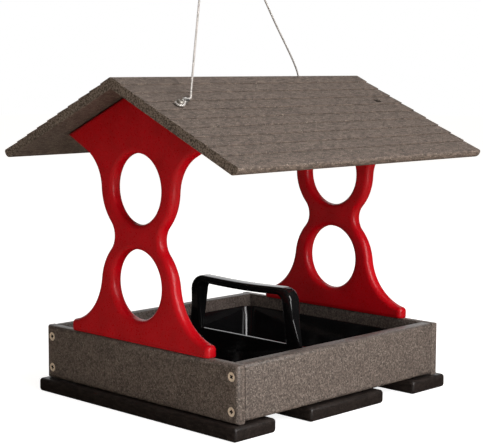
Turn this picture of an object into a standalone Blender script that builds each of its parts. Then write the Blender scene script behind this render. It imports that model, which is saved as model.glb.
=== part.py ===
"""Fly-through bird feeder of recycled-plastic lumber with a lift-out seed tray.

Metres, +Z up. X runs along the ridge, Y across it, and the origin is on the ground
under the middle of the feeder. The left end is at -X and the front eave at -Y.
"""

from math import acos, atan2, ceil, cos, hypot, pi, radians, sin, sqrt, tan

import bmesh
import bpy
from mathutils import Matrix, Vector

MM = 0.001

# Fit
SEAT = 0.3 * MM             # left between pieces that rest on or pass through each other

# Open frame round the tray
FRAME_LENGTH = 276.8 * MM   # over the end boards, along X
FRAME_WIDTH = 256.6 * MM    # over the side boards, along Y
FRAME_HEIGHT = 50.8 * MM
END_BOARD_THICKNESS = 9.5 * MM
SIDE_BOARD_THICKNESS = 12.7 * MM
SIDE_BOARD_LIFT = 1.2 * MM  # their lower edges above the end boards' lower edges
BOARD_ROUND = 2.5 * MM

# Slats under the frame
SLAT_THICKNESS = 12.7 * MM
OUTER_SLAT_WIDTH = 50.8 * MM
CENTRE_SLAT_WIDTH = 101.6 * MM
SLAT_SIDE_OVERHANG = 7.1 * MM   # of the outer slats, past the end boards
SLAT_END_OVERHANG = 4.35 * MM   # of every slat, past the side boards
SLAT_ROUND = 3.0 * MM

# End supports: two lobes with a round hole each, on a spreading foot
SUPPORT_THICKNESS = 12.7 * MM
SUPPORT_INSET = 2.35 * MM            # its middle, in from the end board's middle
SUPPORT_HEIGHT = 226.2 * MM         # foot to peak
SUPPORT_ROUND = 4.8 * MM
HOLE_RADIUS = 31.75 * MM
LOWER_HOLE_HEIGHT = 52.4 * MM       # hole centres above the foot
UPPER_HOLE_HEIGHT = 137.9 * MM
LOWER_LOBE_RADIUS = 49.5 * MM
LOWER_LOBE_HEIGHT = 47.9 * MM
UPPER_LOBE_RADIUS = 48.5 * MM
UPPER_LOBE_HEIGHT = 138.9 * MM
WAIST_RADIUS = 17.0 * MM
FOOT_HALF_WIDTH = 92.0 * MM
FOOT_END_HEIGHT = 9.7 * MM
FOOT_FLARE_RADIUS = 51.0 * MM
SHOULDER_RADIUS = 38.0 * MM
SHOULDER_DROP = 4.0 * MM            # shoulder arc's centre below the upper lobe's
SHOULDER_ANGLE = radians(26.6)      # of the straight run out to the roof

# Roof
ROOF_SLOPE = radians(24.3)
ROOF_LENGTH = 329.3 * MM            # along the ridge
ROOF_SLOPE_LENGTH = 170.3 * MM      # ridge to eave, along the slope
ROOF_THICKNESS = 9.25 * MM
FIRST_COURSE = 15.0 * MM            # first lap line below the ridge
COURSE_PITCH = 16.67 * MM
COURSE_STEP = 0.7 * MM
RIDGE_ROUND = 0.6 * MM
EAVE_TOP_ROUND = 2.0 * MM
EAVE_ROUND = 6.5 * MM
GABLE_ROUND = 2.5 * MM              # along the underside of each gable edge

# Seed tray, lifted out by its handle
TRAY_HEIGHT = 39.4 * MM
TRAY_SIDE_CLEARANCE = 1.05 * MM     # to the side boards
TRAY_END_CLEARANCE = 0.45 * MM      # to the end supports, which it rises past
TRAY_WALL = 2.5 * MM
TRAY_FLOOR = 2.5 * MM
TRAY_CORNER = 11.0 * MM             # inside corners, upright
TRAY_BOTTOM_ROUND = 5.0 * MM        # inside, wall to floor
DIVIDER_THICKNESS = 4.0 * MM
HANDLE_HEIGHT = 93.0 * MM           # top of the grip's ends above the tray's underside
GRIP_SAG = 2.2 * MM                 # of the grip's middle under its ends
GRIP_SAG_RADIUS = 900.0 * MM
GRIP_THICKNESS = 7.5 * MM
GRIP_WIDTH = 15.0 * MM
GRIP_CORNER = 15.0 * MM
GRIP_ROUND = 2.0 * MM
LEG_HALF_SPAN = 54.7 * MM           # between the legs at the grip
LEG_THICKNESS = 11.3 * MM            # at the grip
LEG_SPREAD = 2.5 * MM               # of the inner face, grip to divider
LEG_BASE_THICKNESS = 19.0 * MM
LEG_TIP_WIDTH = 3.0 * MM            # along X, buried in the divider
LEG_TAPER_START = 17.0 * MM         # below the grip's top

# Screws
SCREW_SHANK = 2.1 * MM              # radii
SCREW_HEAD = 4.2 * MM
SCREW_SINK = 0.5 * MM
SCREW_TIP = 4.0 * MM
RECESS_RADIUS = 1.5 * MM
RECESS_DEPTH = 1.4 * MM
SCREW_SIDES = 12
FRAME_SCREW_LENGTH = 25.0 * MM
FRAME_SCREW_INSET = 10.5 * MM       # from the frame's top and bottom
FRAME_SCREW_FROM_SIDE = 7.6 * MM    # from the side boards' outer faces
SLAT_SCREW_LENGTH = 28.0 * MM
SLAT_SCREW_SPACE = 7.5 * MM         # from the frame screws' tips to the outer slats' screws
CENTRE_SCREW_SPACING = 60.0 * MM
SUPPORT_SCREW_SHANK = 1.75 * MM
SUPPORT_SCREW_HEAD = 3.45 * MM
SUPPORT_SCREW_BITE = 18.0 * MM      # into the foot
SUPPORT_SCREW_SPACING = 120.0 * MM
ROOF_SCREW_LENGTH = 30.0 * MM
ROOF_SCREW_DOWN = 58.0 * MM         # below the ridge, along the slope
ROOF_SCREW_OUTSET = 1.5 * MM        # outwards of the supports' mid-planes

# Hanging cable, a metal rope whose ends are crimped round two of the roof screws
CABLE_RADIUS = 1.0 * MM
EYE_RADIUS = 3.9 * MM
EYE_LIFT = 1.5 * MM                 # of the eye's centreline over the roof
CABLE_HEAD_THICKNESS = 2.2 * MM
STRAND_GAP = 0.5 * MM
FERRULE_WALL = 0.6 * MM
FERRULE_LENGTH = 5.0 * MM
FERRULE_OFFSET = 10.5 * MM          # from the screw to the ferrule's middle
FERRULE_LIFT = 2.4 * MM

# Places that follow from the sizes
FRAME_BOTTOM = SLAT_THICKNESS + SEAT
FRAME_TOP = FRAME_BOTTOM + FRAME_HEIGHT
FOOT_LEVEL = FRAME_TOP + SEAT
END_BOARD_X = FRAME_LENGTH / 2 - END_BOARD_THICKNESS / 2
SUPPORT_X = END_BOARD_X - SUPPORT_INSET
SIDE_BOARD_Y = FRAME_WIDTH / 2 - SIDE_BOARD_THICKNESS / 2
SLAT_X = FRAME_LENGTH / 2 + SLAT_SIDE_OVERHANG - OUTER_SLAT_WIDTH / 2
SLAT_LENGTH = FRAME_WIDTH + 2 * SLAT_END_OVERHANG
SLAT_SCREW_X = FRAME_LENGTH / 2 - SCREW_SINK - FRAME_SCREW_LENGTH - SLAT_SCREW_SPACE
ROOF_DROP = (SEAT + ROOF_THICKNESS) / cos(ROOF_SLOPE)   # ridge down to the supports' peaks
RIDGE_HEIGHT = FOOT_LEVEL + SUPPORT_HEIGHT + ROOF_DROP
RIDGE_TOP = Vector((0.0, 0.0, RIDGE_HEIGHT))
ROOF_SCREW_X = SUPPORT_X + ROOF_SCREW_OUTSET
TRAY_HALF_X = SUPPORT_X - SUPPORT_THICKNESS / 2 - TRAY_END_CLEARANCE
TRAY_HALF_Y = FRAME_WIDTH / 2 - SIDE_BOARD_THICKNESS - TRAY_SIDE_CLEARANCE
ENDS = (-1, 1)

GREY = (0.105, 0.095, 0.085)
BLACK = (0.009, 0.009, 0.010)
RED = (0.33, 0.006, 0.014)
STEEL = (0.60, 0.59, 0.57)
DARK_STEEL = (0.06, 0.055, 0.05)


def clear_scene():
    for obj in list(bpy.data.objects):
        bpy.data.objects.remove(obj)


def new_collection(name):
    collection = bpy.data.collections.new(name)
    bpy.context.scene.collection.children.link(collection)
    return collection


clear_scene()
PARTS = new_collection("bird_feeder")
CUTTERS = new_collection("cutters")


def make_material(name, colour, roughness, metallic=0.0):
    material = bpy.data.materials.new(name)
    material.use_nodes = True
    shader = material.node_tree.nodes["Principled BSDF"]
    shader.inputs["Base Color"].default_value = (*colour, 1.0)
    shader.inputs["Roughness"].default_value = roughness
    shader.inputs["Metallic"].default_value = metallic
    return material


def add_part(name, mesh, colour, roughness, metallic=0.0, parent=None):
    obj = bpy.data.objects.new(name, mesh)
    if not mesh.materials:
        mesh.materials.append(make_material(name, colour, roughness, metallic))
    PARTS.objects.link(obj)
    obj.parent = parent
    return obj


def add_copies(name, mesh, places, colour, roughness, parent):
    """One object for each place, numbered from 1, all of the same metal piece."""
    for number, place in enumerate(places, 1):
        copy = add_part(f"{name}_{number}", mesh, colour, roughness, 1.0, parent)
        copy.matrix_local = place


def add_cutter(name, mesh, parent=None):
    obj = bpy.data.objects.new(name, mesh)
    CUTTERS.objects.link(obj)
    obj.parent = parent
    obj.hide_render = True
    obj.display_type = "WIRE"
    return obj


def add_empty(name, location):
    empty = bpy.data.objects.new(name, None)
    empty.location = location
    PARTS.objects.link(empty)
    return empty


def boolean(obj, other, operation="DIFFERENCE"):
    modifier = obj.modifiers.new(other.name, "BOOLEAN")
    modifier.operation = operation
    modifier.object = other


def smooth(mesh, angle=radians(35)):
    mesh.shade_smooth()
    mesh.set_sharp_from_angle(angle=angle)


def mesh_of(bm, name):
    mesh = bpy.data.meshes.new(name)
    bmesh.ops.recalc_face_normals(bm, faces=bm.faces)
    bm.to_mesh(mesh)
    bm.free()
    smooth(mesh)
    return mesh


def evaluated_mesh(obj, name):
    """The object's shape as a welded mesh of its own. The object is removed."""
    bpy.context.view_layer.update()
    graph = bpy.context.evaluated_depsgraph_get()
    made = bpy.data.meshes.new_from_object(obj.evaluated_get(graph))
    bm = bmesh.new()
    bm.from_mesh(made)
    bmesh.ops.remove_doubles(bm, verts=bm.verts, dist=1e-6)
    bpy.data.meshes.remove(made)
    bpy.data.objects.remove(obj)
    return mesh_of(bm, name)


def box_mesh(name, size):
    bm = bmesh.new()
    bmesh.ops.create_cube(bm, size=1.0)
    bmesh.ops.scale(bm, vec=size, verts=bm.verts)
    return mesh_of(bm, name)


def board(name, size, location, rounding, colour, roughness, parent):
    obj = add_part(name, box_mesh(name, size), colour, roughness, parent=parent)
    obj.location = location
    bevel = obj.modifiers.new("rounded edges", "BEVEL")
    bevel.width = min(rounding, 0.45 * min(size))
    bevel.segments = 3
    bevel.limit_method = "ANGLE"
    return obj


def outline_mesh(name, outlines, thickness, rounding=0.0, rounding_steps=1):
    """Flat outlines in XY, filled and made thick about z = 0, their edges rounded inwards."""
    curve = bpy.data.curves.new(name, "CURVE")
    curve.dimensions = "2D"
    curve.fill_mode = "BOTH"
    curve.extrude = thickness / 2 - rounding
    if rounding:
        curve.bevel_depth = rounding
        curve.bevel_resolution = rounding_steps
        curve.offset = -rounding
    for outline in outlines:
        spline = curve.splines.new("POLY")
        spline.points.add(len(outline) - 1)
        for point, (x, y) in zip(spline.points, outline):
            point.co = (x, y, 0.0, 1.0)
        spline.use_cyclic_u = True
    obj = bpy.data.objects.new(name, curve)
    CUTTERS.objects.link(obj)
    return evaluated_mesh(obj, name)


def turned_mesh(name, profile, sides):
    """The (radius, height) profile turned about Z. It runs down its outer side."""
    mesh = bpy.data.meshes.new(name)
    edges = [(i, i + 1) for i in range(len(profile) - 1)]
    mesh.from_pydata([(radius, 0.0, height) for radius, height in profile], edges, [])
    obj = bpy.data.objects.new(name, mesh)
    CUTTERS.objects.link(obj)
    turn = obj.modifiers.new("turned", "SCREW")
    turn.steps = sides
    turn.render_steps = sides
    turn.use_merge_vertices = True
    turn.merge_threshold = 0.00001
    return evaluated_mesh(obj, name)


def grouped_mesh(name, mesh, places):
    """Copies of a cutter's mesh, one at each place, as separate bodies of one mesh."""
    bm = bmesh.new()
    for place in places:
        copy = mesh.copy()
        copy.transform(place)
        bm.from_mesh(copy)
        bpy.data.meshes.remove(copy)
    return mesh_of(bm, name)


def aimed(position, direction, across="Y"):
    turn = Vector(direction).to_track_quat("Z", across)
    return Matrix.Translation(position) @ turn.to_matrix().to_4x4()


def arc(centre, radius, start, end, chord):
    """Points round an arc, from one angle to another, both ends included."""
    count = max(2, ceil(abs(end - start) * radius / chord))
    angles = [start + (end - start) * i / count for i in range(count + 1)]
    return [(centre[0] + radius * cos(a), centre[1] + radius * sin(a)) for a in angles]


def circle(centre, radius, sides):
    return arc(centre, radius, 0.0, 2 * pi * (1 - 1 / sides), 2 * pi * radius / sides)


def filleted(corners, steps):
    """The polygon of (x, y, radius) corners with each corner rounded by its radius."""
    points = []
    for i, (x, y, radius) in enumerate(corners):
        here = Vector((x, y))
        if not radius:
            points.append((x, y))
            continue
        back = (Vector(corners[i - 1][:2]) - here).normalized()
        ahead = (Vector(corners[(i + 1) % len(corners)][:2]) - here).normalized()
        half = acos(max(-1.0, min(1.0, back.dot(ahead)))) / 2
        centre = here + (back + ahead).normalized() * radius / sin(half)
        first = here + back * radius / tan(half) - centre
        last = here + ahead * radius / tan(half) - centre
        turn = first.angle_signed(last)
        for k in range(steps + 1):
            arm = first.copy()
            arm.rotate(Matrix.Rotation(-turn * k / steps, 2))
            points.append(tuple(centre + arm))
    return points


def meeting(centre_a, radius_a, centre_b, radius_b):
    """The crossing of two circles that lies farther out along the first axis."""
    gap = hypot(centre_b[0] - centre_a[0], centre_b[1] - centre_a[1])
    along = (radius_a**2 - radius_b**2 + gap**2) / (2 * gap)
    aside = sqrt(radius_a**2 - along**2)
    ux, uy = (centre_b[0] - centre_a[0]) / gap, (centre_b[1] - centre_a[1]) / gap
    foot = (centre_a[0] + ux * along, centre_a[1] + uy * along)
    crossings = ((foot[0] - uy * aside, foot[1] + ux * aside), (foot[0] + uy * aside, foot[1] - ux * aside))
    return max(crossings)


def bearing(origin, target):
    return atan2(target[1] - origin[1], target[0] - origin[0])


# Screws, their heads up and their tops at z = 0

def countersunk(name, shank, head, length):
    cone = head - shank
    return turned_mesh(
        name,
        [
            (0.0, -RECESS_DEPTH),
            (RECESS_RADIUS, -RECESS_DEPTH),
            (RECESS_RADIUS, 0.0),
            (head, 0.0),
            (shank, -cone),
            (shank, SCREW_TIP - length),
            (0.0, -length),
        ],
        SCREW_SIDES,
    )


def countersunk_hole(name, shank, head, length, above):
    cone = head - shank
    shift = (sqrt(2) - 1) * SEAT
    return turned_mesh(
        name,
        [
            (0.0, above),
            (head + SEAT, above),
            (head + SEAT, -shift),
            (shank + SEAT, -cone - shift),
            (shank + SEAT, -length - SEAT),
            (0.0, -length - SEAT),
        ],
        SCREW_SIDES,
    )


def screw_set(name, shank, head, length, places, colour, parent):
    """Like countersunk screws, and the cutter that makes all their holes."""
    screw = countersunk(name, shank, head, length)
    hole = countersunk_hole(name + "_hole", shank, head, length, 3 * SCREW_SINK)
    add_copies(name, screw, places, colour, 0.35, parent)
    return add_cutter(name + "_holes", grouped_mesh(name + "_holes", hole, places), parent)


base = add_empty("base", (0.0, 0.0, 0.0))


# Frame, slats and the screws that hold them

def frame_screw_places():
    levels = (FRAME_BOTTOM + FRAME_SCREW_INSET, FRAME_TOP - FRAME_SCREW_INSET)
    return [
        aimed(
            (end * (FRAME_LENGTH / 2 - SCREW_SINK), side * (FRAME_WIDTH / 2 - FRAME_SCREW_FROM_SIDE), level),
            (end, 0, 0),
        )
        for end in ENDS
        for side in ENDS
        for level in levels
    ]


def slat_screw_places():
    columns = (-SLAT_SCREW_X, -CENTRE_SCREW_SPACING / 2, CENTRE_SCREW_SPACING / 2, SLAT_SCREW_X)
    return [
        aimed((column, side * SIDE_BOARD_Y, SCREW_SINK), (0, 0, -1))
        for column in columns
        for side in ENDS
    ]


def support_screw_places():
    return [
        aimed((end * END_BOARD_X, side * SUPPORT_SCREW_SPACING / 2, SCREW_SINK), (0, 0, -1))
        for end in ENDS
        for side in ENDS
    ]


frame_screw_holes = screw_set(
    "frame_screw", SCREW_SHANK, SCREW_HEAD, FRAME_SCREW_LENGTH, frame_screw_places(), STEEL, base
)
slat_screw_holes = screw_set(
    "slat_screw", SCREW_SHANK, SCREW_HEAD, SLAT_SCREW_LENGTH, slat_screw_places(), STEEL, base
)
support_screw_holes = screw_set(
    "support_screw",
    SUPPORT_SCREW_SHANK,
    SUPPORT_SCREW_HEAD,
    FOOT_LEVEL + SUPPORT_SCREW_BITE - SCREW_SINK,
    support_screw_places(),
    STEEL,
    base,
)

for name, end in (("left", -1), ("right", 1)):
    end_board = board(
        "end_board_" + name,
        (END_BOARD_THICKNESS, FRAME_WIDTH, FRAME_HEIGHT),
        (end * END_BOARD_X, 0.0, FRAME_BOTTOM + FRAME_HEIGHT / 2),
        BOARD_ROUND,
        GREY,
        0.62,
        base,
    )
    boolean(end_board, frame_screw_holes)
    boolean(end_board, support_screw_holes)

for name, side in (("front", -1), ("back", 1)):
    side_board = board(
        "side_board_" + name,
        (FRAME_LENGTH - 2 * (END_BOARD_THICKNESS + SEAT), SIDE_BOARD_THICKNESS, FRAME_HEIGHT - SIDE_BOARD_LIFT),
        (0.0, side * SIDE_BOARD_Y, FRAME_BOTTOM + (FRAME_HEIGHT + SIDE_BOARD_LIFT) / 2),
        BOARD_ROUND,
        GREY,
        0.62,
        base,
    )
    boolean(side_board, frame_screw_holes)
    boolean(side_board, slat_screw_holes)

for name, x, width in (
    ("left", -SLAT_X, OUTER_SLAT_WIDTH),
    ("centre", 0.0, CENTRE_SLAT_WIDTH),
    ("right", SLAT_X, OUTER_SLAT_WIDTH),
):
    slat = board(
        "base_slat_" + name,
        (width, SLAT_LENGTH, SLAT_THICKNESS),
        (x, 0.0, SLAT_THICKNESS / 2),
        SLAT_ROUND,
        BLACK,
        0.5,
        base,
    )
    boolean(slat, slat_screw_holes)
    if x:
        boolean(slat, support_screw_holes)


# End supports

def support_half():
    """Half the outline as (y, height over the foot), from the foot up to the peak."""
    lower = (0.0, LOWER_LOBE_HEIGHT)
    upper = (0.0, UPPER_LOBE_HEIGHT)
    foot_end = (FOOT_HALF_WIDTH, FOOT_END_HEIGHT)
    flare = meeting(lower, LOWER_LOBE_RADIUS + FOOT_FLARE_RADIUS, foot_end, FOOT_FLARE_RADIUS)
    waist = meeting(lower, LOWER_LOBE_RADIUS + WAIST_RADIUS, upper, UPPER_LOBE_RADIUS + WAIST_RADIUS)
    reach = UPPER_LOBE_RADIUS + SHOULDER_RADIUS
    shoulder = (sqrt(reach**2 - SHOULDER_DROP**2), UPPER_LOBE_HEIGHT - SHOULDER_DROP)
    run_start = (
        shoulder[0] - SHOULDER_RADIUS * sin(SHOULDER_ANGLE),
        shoulder[1] + SHOULDER_RADIUS * cos(SHOULDER_ANGLE),
    )
    rise = SUPPORT_HEIGHT - run_start[1] + run_start[0] * tan(SHOULDER_ANGLE)
    corner_y = rise / (tan(SHOULDER_ANGLE) + tan(ROOF_SLOPE))
    chord = 6.0 * MM
    points = [(FOOT_HALF_WIDTH, 0.0)]
    points += arc(flare, FOOT_FLARE_RADIUS, bearing(flare, foot_end) + 2 * pi, bearing(flare, lower) + 2 * pi, chord)
    points += arc(lower, LOWER_LOBE_RADIUS, bearing(lower, flare), bearing(lower, waist), chord)[1:]
    points += arc(waist, WAIST_RADIUS, bearing(waist, lower) + 2 * pi, bearing(waist, upper), chord)[1:]
    points += arc(upper, UPPER_LOBE_RADIUS, bearing(upper, waist), bearing(upper, shoulder), chord)[1:]
    points += arc(shoulder, SHOULDER_RADIUS, bearing(shoulder, upper), bearing(shoulder, run_start), chord)[1:]
    points.append((corner_y, SUPPORT_HEIGHT - corner_y * tan(ROOF_SLOPE)))
    return points


def support_mesh():
    half = support_half()
    outline = half + [(0.0, SUPPORT_HEIGHT)] + [(-y, z) for y, z in reversed(half)]
    holes = [circle((0.0, height), HOLE_RADIUS, 36) for height in (LOWER_HOLE_HEIGHT, UPPER_HOLE_HEIGHT)]
    return outline_mesh("support", [outline, *holes], SUPPORT_THICKNESS, SUPPORT_ROUND, 1)


# Turns a flat outline's (x, y, thickness) into the feeder's (y, z, x)
UPRIGHT = Matrix(((0, 0, 1, 0), (1, 0, 0, 0), (0, 1, 0, 0), (0, 0, 0, 1)))

supports = []
for name, end in (("left", -1), ("right", 1)):
    mesh = support_mesh()
    mesh.transform(UPRIGHT)
    support = add_part("end_support_" + name, mesh, RED, 0.3, parent=base)
    support.location = (end * SUPPORT_X, 0.0, FOOT_LEVEL)
    boolean(support, support_screw_holes)
    supports.append(support)


# Roof, about an empty on its ridge line

ridge = add_empty("ridge", RIDGE_TOP)
SLOPE_DOWN = {side: Vector((0.0, side * cos(ROOF_SLOPE), -sin(ROOF_SLOPE))) for side in ENDS}
SLOPE_OUT = {side: Vector((0.0, side * sin(ROOF_SLOPE), cos(ROOF_SLOPE))) for side in ENDS}


def on_roof(side, x, down, out):
    """A point from the ridge: along X, down the slope and out from its face."""
    return Vector((x, 0.0, 0.0)) + SLOPE_DOWN[side] * down + SLOPE_OUT[side] * out


def roof_profile():
    """The board's section as (down the slope, out from its face): courses, eave and mitre."""
    def mitre(out):
        return (SEAT / 2 - out * sin(ROOF_SLOPE)) / cos(ROOF_SLOPE)

    corners = [(mitre(0.0), 0.0, RIDGE_ROUND)]
    count = int((ROOF_SLOPE_LENGTH - EAVE_ROUND - FIRST_COURSE) / COURSE_PITCH) + 1
    for k in range(count):
        down = FIRST_COURSE + k * COURSE_PITCH
        corners += [(down, 0.0, 0.0), (down + COURSE_STEP / 2, -COURSE_STEP, 0.0)]
    corners += [
        (ROOF_SLOPE_LENGTH, 0.0, EAVE_TOP_ROUND),
        (ROOF_SLOPE_LENGTH, -ROOF_THICKNESS, EAVE_ROUND),
        (mitre(-ROOF_THICKNESS), -ROOF_THICKNESS, 0.0),
    ]
    return filleted(corners, 4)


def round_gable_undersides(mesh):
    """Rounds the two edges where the board's underside meets its ends."""
    bm = bmesh.new()
    bm.from_mesh(mesh)
    low = -ROOF_THICKNESS + 0.01 * MM
    edges = [
        edge
        for edge in bm.edges
        if all(vert.co.y < low for vert in edge.verts)
        and abs(edge.verts[0].co.z - edge.verts[1].co.z) < SEAT
        and edge.calc_length() > ROOF_THICKNESS
    ]
    bmesh.ops.bevel(bm, geom=edges, offset=GABLE_ROUND, segments=3, profile=0.5, affect="EDGES")
    bm.to_mesh(mesh)
    bm.free()
    smooth(mesh)


def roof_screw_places(chosen, out):
    return [
        aimed(RIDGE_TOP + on_roof(side, end * ROOF_SCREW_X, ROOF_SCREW_DOWN, out), SLOPE_OUT[side])
        for end, side in chosen
    ]


PLAIN_CORNERS = ((-1, 1), (1, -1))      # (end, side) of the screws that hold only the roof
CABLE_CORNERS = ((-1, -1), (1, 1))      # and of those that also hold the cable

roof_screw_holes = screw_set(
    "roof_screw",
    SCREW_SHANK,
    SCREW_HEAD,
    ROOF_SCREW_LENGTH,
    roof_screw_places(PLAIN_CORNERS, -COURSE_STEP - SCREW_SINK),
    DARK_STEEL,
    base,
)

HEAD_SEAT = EYE_LIFT + CABLE_RADIUS + SEAT      # underside of a cable screw's head over the roof


def cable_screw_mesh():
    rim = 0.35 * CABLE_HEAD_THICKNESS
    top = CABLE_HEAD_THICKNESS
    length = ROOF_SCREW_LENGTH - HEAD_SEAT
    return turned_mesh(
        "cable_screw",
        [
            (0.0, top - RECESS_DEPTH),
            (RECESS_RADIUS, top - RECESS_DEPTH),
            (RECESS_RADIUS, top),
            (0.6 * SCREW_HEAD, top),
            (SCREW_HEAD, rim),
            (SCREW_HEAD, 0.0),
            (SCREW_SHANK, 0.0),
            (SCREW_SHANK, SCREW_TIP - length - HEAD_SEAT),
            (0.0, -length - HEAD_SEAT),
        ],
        SCREW_SIDES,
    )


def cable_screw_hole_mesh():
    bore = SCREW_SHANK + SEAT
    bottom = -ROOF_SCREW_LENGTH - SEAT
    return turned_mesh("cable_screw_hole", [(0.0, 0.0), (bore, 0.0), (bore, bottom), (0.0, bottom)], SCREW_SIDES)


cable_screw_places = roof_screw_places(CABLE_CORNERS, HEAD_SEAT)
add_copies("cable_screw", cable_screw_mesh(), cable_screw_places, STEEL, 0.35, base)
cable_screw_holes = add_cutter(
    "cable_screw_holes", grouped_mesh("cable_screw_holes", cable_screw_hole_mesh(), cable_screw_places), base
)

for name, side in (("front", -1), ("back", 1)):
    mesh = outline_mesh("roof_board", [roof_profile()], ROOF_LENGTH)
    round_gable_undersides(mesh)
    along = Vector((side, 0.0, 0.0))
    mesh.transform(Matrix((SLOPE_DOWN[side], SLOPE_OUT[side], along)).transposed().to_4x4())
    panel = add_part("roof_panel_" + name, mesh, GREY, 0.7, parent=ridge)
    boolean(panel, roof_screw_holes)
    boolean(panel, cable_screw_holes)

for support in supports:
    boolean(support, roof_screw_holes)
    boolean(support, cable_screw_holes)


# Seed tray: two compartments, and a handle that stands on the divider

def rounded_box(name, size, corner, bottom_round):
    """A box standing on z = 0 with rounded upright edges and rounded bottom edges."""
    bm = bmesh.new()
    bmesh.ops.create_cube(bm, size=1.0)
    bmesh.ops.translate(bm, vec=(0.0, 0.0, 0.5), verts=bm.verts)
    bmesh.ops.scale(bm, vec=size, verts=bm.verts)
    upright = [edge for edge in bm.edges if abs(edge.verts[0].co.z - edge.verts[1].co.z) > size[2] / 2]
    bmesh.ops.bevel(bm, geom=upright, offset=corner, segments=4, profile=0.5, affect="EDGES")
    floor = [edge for edge in bm.edges if all(vert.co.z < bottom_round / 4 for vert in edge.verts)]
    bmesh.ops.bevel(bm, geom=floor, offset=bottom_round, segments=2, profile=0.5, affect="EDGES")
    return mesh_of(bm, name)


def handle_outline():
    """The handle's arch as (y, height over the tray's underside)."""
    foot = TRAY_HEIGHT - 1.5 * DIVIDER_THICKNESS
    inner_foot = LEG_HALF_SPAN + LEG_SPREAD
    outer_grip = LEG_HALF_SPAN + LEG_THICKNESS
    knee = HANDLE_HEIGHT - 2 * GRIP_CORNER
    under = HANDLE_HEIGHT - GRIP_THICKNESS
    half = [
        (inner_foot, foot, 0.0),
        (inner_foot + LEG_BASE_THICKNESS, foot, 0.0),
        (outer_grip + LEG_SPREAD, knee, 2 * GRIP_CORNER),
        (outer_grip, HANDLE_HEIGHT, GRIP_CORNER),
    ]
    middle = [(0.0, HANDLE_HEIGHT - GRIP_SAG, GRIP_SAG_RADIUS)]
    mirrored = [(-y, z, radius) for y, z, radius in reversed(half)]
    inside = [(-LEG_HALF_SPAN, under, GRIP_CORNER / 2), (LEG_HALF_SPAN, under, GRIP_CORNER / 2)]
    inside.insert(1, (0.0, under - GRIP_SAG, GRIP_SAG_RADIUS))
    return filleted([*half, *middle, *mirrored, *inside], 4)


def narrow_legs(mesh):
    """Narrows the arch along X from the grip's width down to the legs' tips."""
    top = HANDLE_HEIGHT - LEG_TAPER_START
    foot = min(vert.co.z for vert in mesh.vertices)
    for vert in mesh.vertices:
        share = min(1.0, max(0.0, (top - vert.co.z) / (top - foot)))
        vert.co.x *= 1.0 + share * (LEG_TIP_WIDTH / GRIP_WIDTH - 1.0)


handle_mesh = outline_mesh("handle", [handle_outline()], GRIP_WIDTH, GRIP_ROUND, 1)
handle_mesh.transform(UPRIGHT)
narrow_legs(handle_mesh)

tray_outer = (2 * TRAY_HALF_X, 2 * TRAY_HALF_Y, TRAY_HEIGHT)
tray = add_part(
    "seed_tray",
    rounded_box("seed_tray", tray_outer, TRAY_CORNER + TRAY_WALL, TRAY_BOTTOM_ROUND + TRAY_FLOOR),
    BLACK,
    0.2,
    parent=base,
)
tray.location = (0.0, 0.0, FRAME_BOTTOM)

well_length = TRAY_HALF_X - TRAY_WALL - DIVIDER_THICKNESS / 2
well_size = (well_length, 2 * (TRAY_HALF_Y - TRAY_WALL), TRAY_HEIGHT)
for name, end in (("left", -1), ("right", 1)):
    well = add_cutter("tray_well_" + name, rounded_box("well", well_size, TRAY_CORNER, TRAY_BOTTOM_ROUND), tray)
    well.location = (end * (DIVIDER_THICKNESS + well_length) / 2, 0.0, TRAY_FLOOR)
    boolean(tray, well)

handle = add_cutter("tray_handle", handle_mesh, tray)
boolean(tray, handle, "UNION")


# Hanging cable with a crimped eye at each end

STRAND_ASIDE = CABLE_RADIUS + STRAND_GAP / 2
STRAND_BEND = SCREW_HEAD + CABLE_RADIUS + 2 * SEAT      # clear of the screw's head
FERRULE_BORE = CABLE_RADIUS + SEAT


def eye_frame(end, side, heading, tilt):
    """Places an eye: x leads away from the screw, y lies across, z stands off the roof."""
    origin = RIDGE_TOP + on_roof(side, end * ROOF_SCREW_X, ROOF_SCREW_DOWN, 0.0)
    up_slope = -SLOPE_DOWN[side]
    ahead = Vector((cos(heading), 0.0, 0.0)) + up_slope * sin(heading)
    out = SLOPE_OUT[side]
    across = out.cross(ahead)
    flat = Matrix((ahead, across, out)).transposed()
    return Matrix.Translation(origin) @ flat.to_4x4(), tilt


NEAR_EYE, NEAR_TILT = eye_frame(-1, -1, radians(23.0), 0.0)
FAR_EYE, FAR_TILT = eye_frame(1, 1, radians(112.0), radians(61.0))


def strand(along, aside, tilt):
    """A point of a strand past the eye, where the strands rise from the roof by the tilt."""
    past = max(0.0, along - STRAND_BEND)
    return Vector((min(along, STRAND_BEND) + past * cos(tilt), aside, FERRULE_LIFT + past * sin(tilt)))


def eye_points(frame, tilt):
    """The tail's tip, the ferrule, round the screw and out through the ferrule again."""
    stops = [FERRULE_OFFSET + FERRULE_LENGTH * share for share in (0.8, 0.3, -0.5)]
    points = [strand(stop, -STRAND_ASIDE, tilt) for stop in stops]
    points.append(Vector((STRAND_BEND, -1.5 * STRAND_ASIDE, EYE_LIFT)))
    for turn in range(7):
        angle = radians(-60.0 - 40.0 * turn)
        points.append(Vector((EYE_RADIUS * cos(angle), EYE_RADIUS * sin(angle), EYE_LIFT)))
    points.append(Vector((STRAND_BEND, 1.5 * STRAND_ASIDE, EYE_LIFT)))
    points += [strand(stop, STRAND_ASIDE, tilt) for stop in reversed(stops)]
    return [frame @ point for point in points]


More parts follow.
